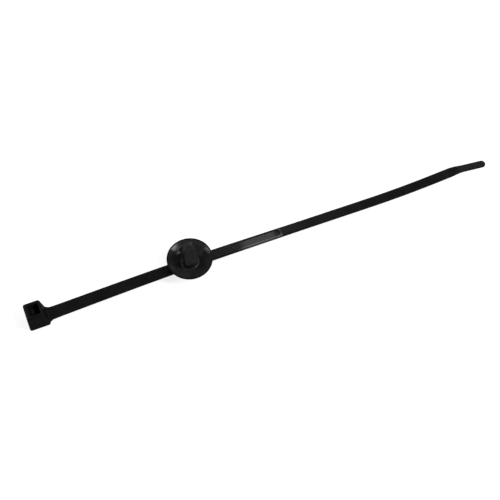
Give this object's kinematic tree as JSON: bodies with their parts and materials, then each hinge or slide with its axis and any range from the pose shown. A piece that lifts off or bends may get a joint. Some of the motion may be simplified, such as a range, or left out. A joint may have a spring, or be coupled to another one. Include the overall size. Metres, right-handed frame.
{
  "type": "push-mount cable tie",
  "caption": "One-piece moulded cable tie: ratchet head, tapering toothed strap with a bent tail, and a dished snap-in mount that fastens it to a panel hole.",
  "frame": {"origin": "on the axis of the push-in pin, at the plane of the dish's rim, which is the face of the panel it fastens to", "axes": "+X along the strap from the head to the tail, +Z along the pin and out of the strap's outer face"},
  "size_m": [0.1934, 0.0176, 0.0181],
  "materials": {
    "nylon": "satin black moulded nylon"
  },
  "bodies": {
    "root": {"cable_tie": "nylon"}
  },
  "joints": []
}
